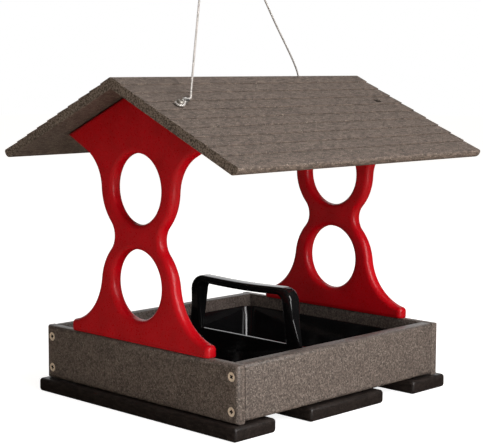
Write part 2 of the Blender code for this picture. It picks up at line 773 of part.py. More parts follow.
def smooth_route(points, steps):
    """Points read from a smooth curve through the route's own points, near or far apart."""
    ends = [2 * points[0] - points[1], *points, 2 * points[-1] - points[-2]]
    route = []
    for before, here, after, beyond in zip(ends, ends[1:], ends[2:], ends[3:]):
        a, b, c = (sqrt((q - p).length) for p, q in ((before, here), (here, after), (after, beyond)))
        leaving = b * ((here - before) / a - (after - before) / (a + b)) + (after - here)
        arriving = b * ((beyond - after) / c - (beyond - here) / (b + c)) + (after - here)
        for k in range(steps):
            t = k / steps
            route.append(
                here * (2 * t**3 - 3 * t**2 + 1)
                + leaving * (t**3 - 2 * t**2 + t)
                + after * (3 * t**2 - 2 * t**3)
                + arriving * (t**3 - t**2)
            )
    return [*route, points[-1]]


# From the near eye over the roof and up, over the hook's turn, and down to the far eye
CABLE_ROUTE = [
    (-112.8, -45.5, 282.6),
    (-111.4, -44.3, 286.2),
    (-82.3, -22.1, 350.1),
    (-45.5, 5.6, 432.1),
    (-35.9, 12.9, 453.6),
    (-20.6, 20.6, 465.3),
    (-2.3, 25.9, 457.1),
    (21.7, 29.9, 428.5),
    (81.3, 39.7, 357.1),
    (126.0, 47.0, 303.5),
]

# The route above was chosen with this much under the ridge
ROUTE_RIDGE = 300.8 * MM


def cable_route():
    lift = Vector((0.0, 0.0, RIDGE_HEIGHT - ROUTE_RIDGE))
    middle = [Vector(point) * MM + lift for point in CABLE_ROUTE]
    far = list(reversed(eye_points(FAR_EYE, FAR_TILT)))
    return smooth_route([*eye_points(NEAR_EYE, NEAR_TILT), *middle, *far], 2)


def add_cable(points):
    curve = bpy.data.curves.new("hanging_cable", "CURVE")
    curve.dimensions = "3D"
    curve.bevel_depth = CABLE_RADIUS
    curve.bevel_resolution = 2
    curve.use_fill_caps = True
    spline = curve.splines.new("POLY")
    spline.points.add(len(points) - 1)
    for point, place in zip(spline.points, points):
        point.co = (*place, 1.0)
    curve.materials.append(make_material("hanging_cable", STEEL, 0.35, 1.0))
    cable = bpy.data.objects.new("hanging_cable", curve)
    PARTS.objects.link(cable)
    cable.parent = base
    return cable


route = cable_route()
add_cable(route)
length = sum((b - a).length for a, b in zip(route, route[1:]))
print(f"cable: {len(route)} points, {length / MM:.1f} mm")


def stadium(half_length, radius, steps):
    """A slot's outline: two half circles joined by straight sides along X."""
    right = arc((half_length, 0.0), radius, -pi / 2, pi / 2, pi * radius / steps)
    left = arc((-half_length, 0.0), radius, pi / 2, 3 * pi / 2, pi * radius / steps)
    return right + left


def ferrule_place(frame, tilt):
    middle = frame @ strand(FERRULE_OFFSET, 0.0, tilt)
    across = frame.to_3x3() @ Vector((0.0, 1.0, 0.0))
    length_ways = frame.to_3x3() @ Vector((cos(tilt), 0.0, sin(tilt)))
    third = length_ways.cross(across)
    return Matrix.Translation(middle) @ Matrix((across, third, length_ways)).transposed().to_4x4()


ferrule_mesh = outline_mesh(
    "ferrule",
    [stadium(STRAND_ASIDE, FERRULE_BORE + FERRULE_WALL, 6), stadium(STRAND_ASIDE, FERRULE_BORE, 6)],
    FERRULE_LENGTH,
)
ferrule_places = [ferrule_place(NEAR_EYE, NEAR_TILT), ferrule_place(FAR_EYE, FAR_TILT)]
add_copies("cable_ferrule", ferrule_mesh, ferrule_places, STEEL, 0.3, base)
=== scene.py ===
"""Fly-through bird feeder: the finished surfaces, the light and the photograph's view.

Everything is in metres in the part's own frame: X along the ridge, Y across it, +Z up,
with the origin on the ground under the middle of the feeder.
"""

from math import acos, atan2, ceil, cos, hypot, pi, radians, sin, sqrt, tan

import bmesh
import bpy
from mathutils import Matrix, Vector


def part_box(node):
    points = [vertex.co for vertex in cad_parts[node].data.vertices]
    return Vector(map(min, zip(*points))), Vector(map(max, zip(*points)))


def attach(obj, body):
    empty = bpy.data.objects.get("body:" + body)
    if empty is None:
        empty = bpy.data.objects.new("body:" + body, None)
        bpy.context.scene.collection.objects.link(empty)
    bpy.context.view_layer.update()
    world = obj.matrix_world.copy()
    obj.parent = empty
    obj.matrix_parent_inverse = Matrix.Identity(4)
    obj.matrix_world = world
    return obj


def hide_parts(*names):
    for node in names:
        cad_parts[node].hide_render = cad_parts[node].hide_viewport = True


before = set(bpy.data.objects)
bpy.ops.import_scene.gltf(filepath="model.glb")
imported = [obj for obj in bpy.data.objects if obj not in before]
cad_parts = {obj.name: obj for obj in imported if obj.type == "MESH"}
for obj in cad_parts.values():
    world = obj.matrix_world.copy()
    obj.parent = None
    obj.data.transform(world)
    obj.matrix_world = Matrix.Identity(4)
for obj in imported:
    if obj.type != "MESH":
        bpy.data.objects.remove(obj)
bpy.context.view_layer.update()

MM = 0.001
ENDS = (-1, 1)

# Camera, solved on the photograph
CAMERA_PLACE = (-0.9312, -0.9117, 0.3119)
CAMERA_AZIMUTH = radians(-45.50)
CAMERA_ELEVATION = radians(6.60)
CAMERA_ROLL = radians(0.16)
CAMERA_LENS = 102.40                # mm
CAMERA_SENSOR = 36.0                # mm

# Sizes that the model uses
SEAT = 0.3 * MM
SUPPORT_X = 131.3 * MM
FOOT_LEVEL = 64.1 * MM
SUPPORT_THICKNESS = 12.7 * MM
SUPPORT_HEIGHT = 226.2 * MM
SUPPORT_ROUND = 4.8 * MM
HOLE_RADIUS = 31.75 * MM
HOLE_HEIGHTS = (52.4 * MM, 137.9 * MM)
LOWER_LOBE = (49.5 * MM, 47.9 * MM)         # radius, height of the centre over the foot
UPPER_LOBE = (48.5 * MM, 138.9 * MM)
WAIST_RADIUS = 17.0 * MM
FOOT_END = (92.0 * MM, 9.7 * MM)
FOOT_FLARE_RADIUS = 51.0 * MM
FOOT_TIP_ROUND = 4.4 * MM
FOOT_TIP_CHORD = 0.8 * MM
FOOT_SPARE = 2.4 * MM               # below the foot, cut off again so that its lower edges stay crisp
SHOULDER_RADIUS = 38.0 * MM
SHOULDER_DROP = 4.0 * MM
SHOULDER_ANGLE = radians(26.6)
ROOF_SLOPE = radians(24.3)
ROOF_LENGTH = 329.3 * MM
ROOF_SLOPE_LENGTH = 170.3 * MM
ROOF_THICKNESS = 9.25 * MM
RIDGE_HEIGHT = FOOT_LEVEL + SUPPORT_HEIGHT + (SEAT + ROOF_THICKNESS) / cos(ROOF_SLOPE)
FIRST_COURSE = 15.0 * MM
COURSE_PITCH = 16.67 * MM
COURSE_STEP = 0.7 * MM
LAP_GROOVE = 0.8 * MM
RIDGE_ROUND = 0.6 * MM
EAVE_TOP_ROUND = 2.0 * MM
EAVE_ROUND = 6.5 * MM
GABLE_ROUND = 2.5 * MM
ROOF_SCREW_X = SUPPORT_X + 1.5 * MM
ROOF_SCREW_DOWN = 58.0 * MM
TRAY_LEVEL = 13.0 * MM
TRAY_HALF = (124.5 * MM, 114.55 * MM)
TRAY_HEIGHT = 39.4 * MM
TRAY_WALL = 2.5 * MM
TRAY_CORNER = 11.0 * MM
TRAY_DRAFT = radians(6.0)
TRAY_BOTTOM_ROUND = 5.0 * MM
DIVIDER_THICKNESS = 4.0 * MM
HANDLE_HEIGHT = 93.0 * MM
GRIP_SAG = 2.2 * MM
GRIP_SAG_RADIUS = 900.0 * MM
GRIP_THICKNESS = 7.5 * MM
GRIP_WIDTH = 15.0 * MM
GRIP_CORNER = 15.0 * MM
LEG_HALF_SPAN = 54.7 * MM
LEG_THICKNESS = 11.3 * MM
LEG_SPREAD = 2.5 * MM
LEG_BASE_THICKNESS = 19.0 * MM
LEG_TIP_WIDTH = 3.0 * MM
LEG_TAPER_START = 17.0 * MM
CABLE_RADIUS = 1.0 * MM
EYE_RADIUS = 3.9 * MM
EYE_LIFT = 1.5 * MM
STRAND_ASIDE = CABLE_RADIUS + 0.25 * MM
STRAND_BEND = 5.8 * MM
FERRULE_OFFSET = 10.5 * MM
FERRULE_LENGTH = 5.0 * MM
FERRULE_LIFT = 2.4 * MM
NEAR_HEADING = radians(23.0)        # the way from the screw to the ferrule, up the slope from +X
FAR_HEADING = radians(112.0)
NEAR_TILT = 0.0                     # the cable's rise off the roof board behind the eye
FAR_TILT = radians(61.0)

# Finer sizes that only the finished surfaces have
BOARD_ROUND = 3.6 * MM
BOARD_EASED = 0.6 * MM
SLAT_ROUND = 3.2 * MM
TRAY_RIM_ROUND = 0.9 * MM
TRAY_ROUND_STEPS = 6
HANDLE_ROUND = 3.3 * MM
FERRULE_ROUND = 0.18 * MM
FERRULE_WALL = 0.6 * MM
ROUTE_STEPS = 12
CABLE_POINT_SPACING = 0.75 * MM
CABLE_LAY = 7.0 * MM                # the length in which a strand turns once
ROPE_SIDES = 6                      # of each strand

# Screws: radii of the head and the shank, and lengths
SCREW_HEAD = 4.2 * MM
SCREW_SHANK = 2.1 * MM
SUPPORT_SCREW_HEAD = 3.45 * MM
SUPPORT_SCREW_SHANK = 1.75 * MM
FRAME_SCREW_LENGTH = 25.0 * MM
SLAT_SCREW_LENGTH = 28.0 * MM
SUPPORT_SCREW_LENGTH = 81.6 * MM
ROOF_SCREW_LENGTH = 29.0 * MM
ROOF_SCREW_SUNK = 1.6 * MM
SINK_DEPTH = 29.0 * MM              # bores for the frame's and the slats' screws
SUPPORT_SINK_DEPTH = 82.4 * MM
ROOF_SINK_DEPTH = 31.0 * MM
THREAD_PITCH = 1.6 * MM
THREAD_ROOT = 0.74                  # share of the shank's radius
SCREW_TIP = 4.0 * MM
SCREW_TURN = radians(37.0)          # from one screw's cross to the next one's
# The pan head's radii and heights over its seat, in mm
PAN_HEAD = ((0.0, 2.2), (1.7, 2.15), (2.6, 1.8), (3.1, 1.1), (3.3, 0.5), (3.3, 0.1), (3.2, 0.0))
CABLE_SCREW_CONE = 26.0 * MM        # where the cable screws' tips begin
CABLE_SCREW_TIP = 30.0 * MM

# Light
BACKDROP = (0.707, 0.707, 0.0)      # the way to the white backdrop behind the feeder
BACKDROP_EDGE = 0.8                 # cosine of the backdrop's half angle
SURROUND = (1.0, 0.90, 0.79)        # a warm tint of what the room and the floor give back
WHITE = (1.0, 1.0, 1.0)
ROOM_LEVEL = 0.31
MIRRORED = 0.012                    # level of the dark studio that smooth faces mirror
FLOOR_GREY = 0.97
FLOOR_SEEN = (0.6, 0.6, 0.6)        # together with its glow the floor is white, except in shadow
FLOOR_GLOW = 0.84
LAMP_TARGET = (0.0, 0.0, 0.12)
LAMPS = (                           # name, place, size, watts, colour
    ("key", (0.10, -1.20, 0.86), (0.8, 0.8), 14.0, (1.0, 0.98, 0.97)),
    ("strip", (-0.33, -1.27, 0.26), (0.42, 0.5), 6.2, WHITE),
    ("top", (0.1, -0.4, 1.8), (1.2, 1.2), 9.0, (1.0, 0.98, 0.96)),
)


# Node materials

class Nodes:
    """The node tree of a material or a world, built with short calls."""

    def __init__(self, owner, coordinates="Object"):
        owner.use_nodes = True
        self.owner = owner
        self.tree = owner.node_tree
        self.place = self.tree.nodes.new("ShaderNodeTexCoord").outputs[coordinates]

    def set(self, socket, value):
        """Links the socket to another one, or sets its value. A colour gets its alpha."""
        if isinstance(value, bpy.types.NodeSocket):
            self.tree.links.new(value, socket)
        elif hasattr(value, "__len__") and len(value) < len(socket.default_value):
            socket.default_value = (*value, 1.0)
        else:
            socket.default_value = value

    def add(self, kind, inputs=(), **settings):
        node = self.tree.nodes.new(kind)
        for key, value in settings.items():
            setattr(node, key, value)
        for key, value in dict(inputs).items():
            self.set(node.inputs[key], value)
        return node

    def stretched(self, scale):
        return self.add("ShaderNodeMapping", {"Vector": self.place, "Scale": scale}).outputs["Vector"]

    def component(self, vector, axis):
        return self.add("ShaderNodeSeparateXYZ", {0: vector}).outputs[axis]

    def noise(self, scale, detail, roughness, where=None, distortion=0.0):
        inputs = {
            "Vector": where or self.place,
            "Scale": scale,
            "Detail": detail,
            "Roughness": roughness,
            "Distortion": distortion,
        }
        return self.add("ShaderNodeTexNoise", inputs).outputs["Fac"]

    def ramp(self, factor, *stops):
        """From the first to the second (position, level or colour)."""
        node = self.add("ShaderNodeValToRGB", {"Fac": factor})
        for mark, (position, colour) in zip(node.color_ramp.elements, stops):
            mark.position = position
            mark.color = (*colour, 1.0) if hasattr(colour, "__len__") else (colour, colour, colour, 1.0)
        return node.outputs["Color"]

    def mix(self, factor, first, second, blend="MIX"):
        inputs = {0: factor, 6: first, 7: second}
        return self.add("ShaderNodeMix", inputs, data_type="RGBA", blend_type=blend).outputs[2]

    def math(self, operation, first, second=0.0):
        return self.add("ShaderNodeMath", {0: first, 1: second}, operation=operation).outputs[0]

    def bump(self, height, distance, strength, below=None):
        inputs = {"Height": height, "Distance": distance, "Strength": strength}
        if below is not None:
            inputs["Normal"] = below
        return self.add("ShaderNodeBump", inputs).outputs["Normal"]

    def finish(self, colour, roughness, normal, **others):
        shader = self.tree.nodes["Principled BSDF"].inputs
        self.set(shader["Base Color"], colour)
        self.set(shader["Roughness"], roughness)
        self.set(shader["Normal"], normal)
        names = {"metallic": "Metallic", "specular": "Specular IOR Level"}
        for key, value in others.items():
            self.set(shader[names[key]], value)
        return self.owner


def new_material(name):
    return Nodes(bpy.data.materials.new(name))


def lumber_material(
    name, dark, light, fleck, grain, fleck_level, roughness, relief, specular=0.5, sawn=0.0
):
    """Recycled-plastic lumber: mottled colour, fine pale flecks and a slightly rough skin."""
    n = new_material(name)
    mottle = n.noise(110.0, 4.0, 0.65, distortion=1.2)
    streaks = n.noise(460.0, 3.0, 0.65, n.stretched(grain))
    fine = n.noise(1500.0, 2.0, 0.6)
    body = n.mix(n.ramp(streaks, (0.40, 0.0), (0.60, 1.0)), dark, light)
    colour = n.mix(1.0, body, n.ramp(mottle, (0.32, 0.78), (0.68, 1.16)), "MULTIPLY")
    sparks = n.ramp(n.noise(800.0, 1.0, 0.5), (fleck_level, 0.0), (fleck_level + 0.05, 1.0))
    colour = n.mix(sparks, colour, fleck)
    if sawn:
        facing = n.component(n.add("ShaderNodeNewGeometry").outputs["True Normal"], "X")
        ends = n.math("GREATER_THAN", n.math("ABSOLUTE", facing), 0.6)
        chips = n.ramp(n.noise(700.0, 2.0, 0.7), (0.42, 0.0), (0.60, 1.0))
        torn = n.mix(chips, [0.45 * c for c in dark], fleck)
        colour = n.mix(n.math("MULTIPLY", ends, sawn), colour, torn)
    rough = n.ramp(fine, (0.3, roughness - 0.1), (0.7, roughness + 0.12))
    coarse = n.bump(streaks, 0.6 * relief, 0.7)
    skin = n.bump(fine, relief, 0.8, coarse)
    return n.finish(colour, rough, skin, specular=specular)


def red_material():
    n = new_material("red_lumber")
    fine = n.noise(700.0, 2.0, 0.6)
    mottle = n.noise(45.0, 3.0, 0.6)
    colour = n.ramp(mottle, (0.3, (0.41, 0.0001, 0.0040)), (0.7, (0.51, 0.0002, 0.0070)))
    colour = n.mix(n.ramp(fine, (0.35, 0.0), (0.75, 0.28)), colour, (0.33, 0.0001, 0.0035))
    rough = n.ramp(fine, (0.3, 0.24), (0.7, 0.44))
    waves = n.bump(n.noise(300.0, 3.0, 0.6), 0.34 * MM, 0.8)
    return n.finish(colour, rough, n.bump(fine, 0.06 * MM, 0.7, waves), specular=0.34)


def tray_material():
    n = new_material("tray_plastic")
    cloud = n.noise(40.0, 3.0, 0.55)
    colour = n.ramp(cloud, (0.3, (0.004, 0.004, 0.0045)), (0.7, (0.007, 0.007, 0.0075)))
    rough = n.ramp(n.noise(90.0, 3.0, 0.6), (0.3, 0.07), (0.7, 0.14))
    waves = n.bump(cloud, 0.6 * MM, 0.25)
    skin = n.bump(n.noise(500.0, 2.0, 0.5), 0.02 * MM, 0.4, waves)
    return n.finish(colour, rough, skin, specular=0.5)


def metal_material(name, dark, light, rough, metallic=1.0, painted_recess_shade=None):
    """The recess shade, if given, is painted shade: the colour put lower than a third of a millimetre
    under the head's top, where the cross recess lies in shadow.
    """
    n = new_material(name)
    tarnish = n.noise(225.0, 3.0, 0.6)
    fine = n.noise(900.0, 2.0, 0.6)
    colour = n.mix(n.ramp(tarnish, (0.3, 0.0), (0.7, 1.0)), dark, light)
    if painted_recess_shade:
        # painted shade: everything deeper than a third of a millimetre below the head's top takes the
        # dark colour
        lower = n.math("LESS_THAN", n.component(n.place, "Z"), -0.33 * MM)
        colour = n.mix(lower, colour, painted_recess_shade)
    roughness = n.ramp(fine, (0.3, rough[0]), (0.7, rough[1]))
    return n.finish(colour, roughness, n.bump(fine, 0.02 * MM, 0.6), metallic=metallic)


GREY = lumber_material(
    "grey_lumber",
    dark=(0.060, 0.049, 0.042),
    light=(0.148, 0.120, 0.106),
    fleck=(0.23, 0.20, 0.175),
    grain=(1.0, 1.0, 1.0),
    fleck_level=0.615,
    roughness=0.42,
    relief=0.20 * MM,
)
ROOF = lumber_material(
    "roof_lumber",
    dark=(0.070, 0.053, 0.043),
    light=(0.145, 0.111, 0.092),
    fleck=(0.28, 0.23, 0.19),
    grain=(0.35, 1.0, 1.0),
    fleck_level=0.64,
    roughness=0.7,
    relief=0.25 * MM,
    sawn=0.75,
)
BLACK = lumber_material(
    "black_lumber",
    dark=(0.010, 0.007, 0.006),
    light=(0.023, 0.017, 0.015),
    fleck=(0.05, 0.04, 0.035),
    grain=(1.0, 0.3, 1.0),
    fleck_level=0.66,
    roughness=0.40,
    relief=0.10 * MM,
    specular=0.4,
)
RED = red_material()
TRAY = tray_material()
SCREW = metal_material(
    "screw_steel",
    dark=(0.62, 0.51, 0.40),
    light=(0.88, 0.77, 0.63),
    rough=(0.34, 0.5),
    metallic=0.1,
    # painted shadow that darkens the heads' cross recesses
    painted_recess_shade=(0.02, 0.015, 0.01),
)
DARK_SCREW = metal_material("dark_screw", (0.030, 0.027, 0.024), (0.075, 0.068, 0.060), (0.35, 0.55))
EYE_SCREW = metal_material("eye_screw", (0.26, 0.24, 0.21), (0.48, 0.45, 0.41), (0.3, 0.45), 0.6)
FERRULE = metal_material("ferrule_metal", (0.62, 0.60, 0.57), (0.85, 0.84, 0.82), (0.18, 0.34))
CABLE = metal_material("cable_steel", (0.50, 0.48, 0.46), (0.80, 0.77, 0.74), (0.24, 0.40), 0.45)


# Mesh helpers

def smooth(mesh):
    mesh.shade_smooth()
    mesh.set_sharp_from_angle(angle=radians(32))


def new_object(name, data):
    obj = bpy.data.objects.new(name, data)
    bpy.context.scene.collection.objects.link(obj)
    return obj


def mesh_of(bm, name):
    mesh = bpy.data.meshes.new(name)
    bmesh.ops.recalc_face_normals(bm, faces=bm.faces)
    bm.to_mesh(mesh)
    bm.free()
    smooth(mesh)
    return mesh


def evaluated_mesh(obj, name):
    """The object's shape as a welded mesh of its own. The object is removed."""
    bpy.context.view_layer.update()
    graph = bpy.context.evaluated_depsgraph_get()
    made = bpy.data.meshes.new_from_object(obj.evaluated_get(graph))
    bm = bmesh.new()
    bm.from_mesh(made)
    bmesh.ops.remove_doubles(bm, verts=bm.verts, dist=1e-6)
    bpy.data.meshes.remove(made)
    bpy.data.objects.remove(obj)
    return mesh_of(bm, name)


def piece(node, mesh, material, body="feeder", place=None):
    """A finished piece: it rides on its body and stands for the model's node."""
    obj = new_object(node + "_finished", mesh)
    if place is not None:
        obj.matrix_world = place
    if not mesh.materials:
        mesh.materials.append(material)
    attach(obj, body)
    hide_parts(node)
    return obj


def cut(mesh, cutters, name, operation="DIFFERENCE"):
    """The mesh with the cutters' meshes cut from it, or joined to it."""
    obj = new_object(name, mesh)
    others = []
    for k, cutter in enumerate(cutters):
        other = new_object(f"{name}_cutter_{k}", cutter)
        modifier = obj.modifiers.new(other.name, "BOOLEAN")
        modifier.operation = operation
        modifier.object = other
        others.append(other)
    made = evaluated_mesh(obj, name)
    for other in others:
        bpy.data.objects.remove(other)
    return made


def outline_mesh(name, outlines, thickness, rounding=0.0, steps=0):
    """Flat outlines in XY, filled and made thick about z = 0, their edges rounded inwards."""
    curve = bpy.data.curves.new(name, "CURVE")
    curve.dimensions = "2D"
    curve.fill_mode = "BOTH"
    curve.extrude = thickness / 2 - rounding
    if rounding:
        curve.bevel_depth = rounding
        curve.bevel_resolution = steps
        curve.offset = -rounding
    for outline in outlines:
        spline = curve.splines.new("POLY")
        spline.points.add(len(outline) - 1)
        for point, (x, y) in zip(spline.points, outline):
            point.co = (x, y, 0.0, 1.0)
        spline.use_cyclic_u = True
    return evaluated_mesh(new_object(name, curve), name)


def turned_mesh(name, profile, sides):
    """The (radius, height) profile turned about Z. It runs down its outer side."""
    mesh = bpy.data.meshes.new(name)
    edges = [(i, i + 1) for i in range(len(profile) - 1)]
    mesh.from_pydata([(radius, 0.0, height) for radius, height in profile], edges, [])
    obj = new_object(name, mesh)
    turn = obj.modifiers.new("turned", "SCREW")
    turn.steps = sides
    turn.render_steps = sides
    turn.use_merge_vertices = True
    turn.merge_threshold = 0.01 * MM
    return evaluated_mesh(obj, name)


def grouped_mesh(name, mesh, places):
    bm = bmesh.new()
    for place in places:
        copy = mesh.copy()
        copy.transform(place)
        bm.from_mesh(copy)
        bpy.data.meshes.remove(copy)
    return mesh_of(bm, name)


def aimed(position, direction):
    turn = Vector(direction).to_track_quat("Z", "Y")
    return Matrix.Translation(position) @ turn.to_matrix().to_4x4()


def arc(centre, radius, start, end, chord):
    count = max(2, ceil(abs(end - start) * radius / chord))
    angles = [start + (end - start) * i / count for i in range(count + 1)]
    return [(centre[0] + radius * cos(a), centre[1] + radius * sin(a)) for a in angles]


def circle(centre, radius, sides):
    return arc(centre, radius, 0.0, 2 * pi * (1 - 1 / sides), 2 * pi * radius / sides)


def filleted(corners, steps):
    """The polygon of (x, y, radius) corners with each corner rounded by its radius."""
    points = []
    for i, (x, y, radius) in enumerate(corners):
        here = Vector((x, y))
        if not radius:
            points.append((x, y))
            continue
        back = (Vector(corners[i - 1][:2]) - here).normalized()
        ahead = (Vector(corners[(i + 1) % len(corners)][:2]) - here).normalized()
        half = acos(max(-1.0, min(1.0, back.dot(ahead)))) / 2
        centre = here + (back + ahead).normalized() * radius / sin(half)
        first = here + back * radius / tan(half) - centre
        last = here + ahead * radius / tan(half) - centre
        turn = first.angle_signed(last)
        for k in range(steps + 1):
            arm = first.copy()
            arm.rotate(Matrix.Rotation(-turn * k / steps, 2))
            points.append(tuple(centre + arm))
    return points


def meeting(centre_a, radius_a, centre_b, radius_b):
    """The crossing of two circles that lies farther out along the first axis."""
    gap = hypot(centre_b[0] - centre_a[0], centre_b[1] - centre_a[1])
    along = (radius_a**2 - radius_b**2 + gap**2) / (2 * gap)
    aside = sqrt(radius_a**2 - along**2)
    ux, uy = (centre_b[0] - centre_a[0]) / gap, (centre_b[1] - centre_a[1]) / gap
    x, y = centre_a[0] + ux * along, centre_a[1] + uy * along
    return max((x - uy * aside, y + ux * aside), (x + uy * aside, y - ux * aside))


def bearing(origin, target):
    return atan2(target[1] - origin[1], target[0] - origin[0])


# Turns a flat outline's (x, y, thickness) into the feeder's (y, z, x)
UPRIGHT = Matrix(((0, 0, 1, 0), (1, 0, 0, 0), (0, 1, 0, 0), (0, 0, 0, 1)))


# Boards of the frame and the slats

def board_mesh(name, node, rounding, outward=None, along=None):
    """A board in the space of its node. All edges are rounded, or the outer ones and the rest eased."""
    low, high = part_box(node)
    middle = (low + high) / 2
    bm = bmesh.new()
    bmesh.ops.create_cube(bm, size=1.0)
    bmesh.ops.scale(bm, vec=high - low, verts=bm.verts)
    bmesh.ops.translate(bm, vec=middle, verts=bm.verts)
    outer = [edge for edge in bm.edges if outward is None or is_outer(edge, middle, outward, along)]
    bmesh.ops.bevel(bm, geom=outer, offset=rounding, segments=6, profile=0.5, affect="EDGES")
    if outward is not None:
        rest = [edge for edge in bm.edges if edge.calc_face_angle(0.0) > radians(60)]
        bmesh.ops.bevel(bm, geom=rest, offset=BOARD_EASED, segments=2, profile=0.5, affect="EDGES")
    return mesh_of(bm, name)


def is_outer(edge, middle, outward, along):
    """Whether the edge lies on the outward side and runs along the axis, if one is given."""
    run = edge.verts[1].co - edge.verts[0].co
    outside = all((vert.co - middle).dot(Vector(outward)) > 0 for vert in edge.verts)
    return outside and (along is None or abs(run[along]) > 0.5 * run.length)


def screw_place(node, direction):
    """A screw's head lies in the middle of its node's face on that side, and looks that way."""
    low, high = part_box(node)
    reach = (high - low) / 2
    head = (low + high) / 2 + Vector([d * r for d, r in zip(direction, reach)])
    return aimed(head, direction)


def countersink_mesh(head, shank, depth):
    """A cutter: a cone for the head, a bore for the shank and a little room above."""
    room = 2.0 * MM
    wide = head + 0.3 * MM
    bore = shank + 0.35 * MM
    cone = head - shank + 0.2 * MM
    profile = [(0.0, room), (wide, room), (wide, -0.1 * MM)]
    profile += [(bore, -cone), (bore, -depth), (0.0, -depth)]
    return turned_mesh("countersink", profile, 40)


def sinks(name, cutter, nodes):
    return grouped_mesh(name, cutter, [screw_places[node] for node in nodes])


FRAME_SCREWS = [f"frame_screw_{k}" for k in range(1, 9)]
SLAT_SCREWS = [f"slat_screw_{k}" for k in range(1, 9)]
SUPPORT_SCREWS = [f"support_screw_{k}" for k in range(1, 5)]
screw_places = {}
for node in FRAME_SCREWS:
    outward = (1 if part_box(node)[0].x > 0 else -1, 0, 0)
    screw_places[node] = screw_place(node, outward)
for node in SLAT_SCREWS + SUPPORT_SCREWS:
    screw_places[node] = screw_place(node, (0, 0, -1))

wide_sink = countersink_mesh(SCREW_HEAD, SCREW_SHANK, SINK_DEPTH)
narrow_sink = countersink_mesh(SUPPORT_SCREW_HEAD, SUPPORT_SCREW_SHANK, SUPPORT_SINK_DEPTH)
frame_sinks = sinks("frame_sinks", wide_sink, FRAME_SCREWS)
slat_sinks = [
    sinks("slat_sinks", wide_sink, SLAT_SCREWS),
    sinks("support_sinks", narrow_sink, SUPPORT_SCREWS),
]

for node, outward, along in (
    ("end_board_left", (-1, 0, 0), None),
    ("end_board_right", (1, 0, 0), None),
    ("side_board_front", (0, -1, 0), 0),
    ("side_board_back", (0, 1, 0), 0),
):
    solid = board_mesh(node + "_solid", node, BOARD_ROUND, outward, along)
    mesh = cut(solid, [frame_sinks], node + "_finished")
    piece(node, mesh, GREY)
for node in ("base_slat_left", "base_slat_centre", "base_slat_right"):
    mesh = cut(board_mesh(node + "_solid", node, SLAT_ROUND), slat_sinks, node + "_finished")
    piece(node, mesh, BLACK)


# End supports

def support_half(chord):
    """Half the outline as (y, height over the foot), from the foot up to the peak."""
    lower = (0.0, LOWER_LOBE[1])
    upper = (0.0, UPPER_LOBE[1])
    flare = meeting(lower, LOWER_LOBE[0] + FOOT_FLARE_RADIUS, FOOT_END, FOOT_FLARE_RADIUS)
    waist = meeting(lower, LOWER_LOBE[0] + WAIST_RADIUS, upper, UPPER_LOBE[0] + WAIST_RADIUS)
    reach = UPPER_LOBE[0] + SHOULDER_RADIUS
    shoulder = (sqrt(reach**2 - SHOULDER_DROP**2), UPPER_LOBE[1] - SHOULDER_DROP)
    run_start = (
        shoulder[0] - SHOULDER_RADIUS * sin(SHOULDER_ANGLE),
        shoulder[1] + SHOULDER_RADIUS * cos(SHOULDER_ANGLE),
    )
    rise = SUPPORT_HEIGHT - run_start[1] + run_start[0] * tan(SHOULDER_ANGLE)
    corner_y = rise / (tan(SHOULDER_ANGLE) + tan(ROOF_SLOPE))
    turn = 2 * pi
    tip = FOOT_END[0] - FOOT_TIP_ROUND
    over = (tip, flare[1] - sqrt(FOOT_FLARE_RADIUS**2 - (tip - flare[0]) ** 2))
    points = arc((tip, FOOT_TIP_ROUND - FOOT_SPARE), FOOT_TIP_ROUND, -pi / 2, 0.0, FOOT_TIP_CHORD)
    points += arc((tip, over[1] - FOOT_TIP_ROUND), FOOT_TIP_ROUND, 0.0, 0.45 * pi, FOOT_TIP_CHORD)
    start = bearing(flare, over) + turn
    points += arc(flare, FOOT_FLARE_RADIUS, start, bearing(flare, lower) + turn, chord)
    for centre, radius, before, lap, after in (
        (lower, LOWER_LOBE[0], flare, 0.0, waist),
        (waist, WAIST_RADIUS, lower, turn, upper),
        (upper, UPPER_LOBE[0], waist, 0.0, shoulder),
        (shoulder, SHOULDER_RADIUS, upper, 0.0, run_start),
    ):
        points += arc(centre, radius, bearing(centre, before) + lap, bearing(centre, after), chord)[1:]
    points.append((corner_y, SUPPORT_HEIGHT - corner_y * tan(ROOF_SLOPE)))
    return points


def flat_foot(mesh):
    """The support's shape, cut off flat and closed at its foot."""
    bm = bmesh.new()
    bm.from_mesh(mesh)
    everything = [*bm.verts, *bm.edges, *bm.faces]
    level = {"plane_co": (0, 0, 0), "plane_no": (0, 1, 0)}
    bmesh.ops.bisect_plane(bm, geom=everything, clear_inner=True, **level)
    bmesh.ops.holes_fill(bm, edges=[edge for edge in bm.edges if edge.is_boundary])
    return mesh_of(bm, mesh.name)


half = support_half(2.0 * MM)
support_outline = half + [(0.0, SUPPORT_HEIGHT)] + [(-y, z) for y, z in reversed(half)]
support_holes = [circle((0.0, height), HOLE_RADIUS, 96) for height in HOLE_HEIGHTS]
for name, end in (("left", -1), ("right", 1)):
    outlines = [support_outline, *support_holes]
    mesh = flat_foot(outline_mesh("support", outlines, SUPPORT_THICKNESS, SUPPORT_ROUND, 5))
    mesh.transform(Matrix.Translation((end * SUPPORT_X, 0.0, FOOT_LEVEL)) @ UPRIGHT)
    piece(f"end_support_{name}", mesh, RED)


# Roof boards with their lap lines

RIDGE_TOP = Vector((0.0, 0.0, RIDGE_HEIGHT))
SLOPE_DOWN = {side: Vector((0.0, side * cos(ROOF_SLOPE), -sin(ROOF_SLOPE))) for side in ENDS}
SLOPE_OUT = {side: Vector((0.0, side * sin(ROOF_SLOPE), cos(ROOF_SLOPE))) for side in ENDS}


def on_roof(side, x, down, out):
    return RIDGE_TOP + Vector((x, 0.0, 0.0)) + SLOPE_DOWN[side] * down + SLOPE_OUT[side] * out


def roof_screw_place(end, side, out):
    return aimed(on_roof(side, end * ROOF_SCREW_X, ROOF_SCREW_DOWN, out), SLOPE_OUT[side])


def mitre(out):
    return (SEAT / 2 - out * sin(ROOF_SLOPE)) / cos(ROOF_SLOPE)


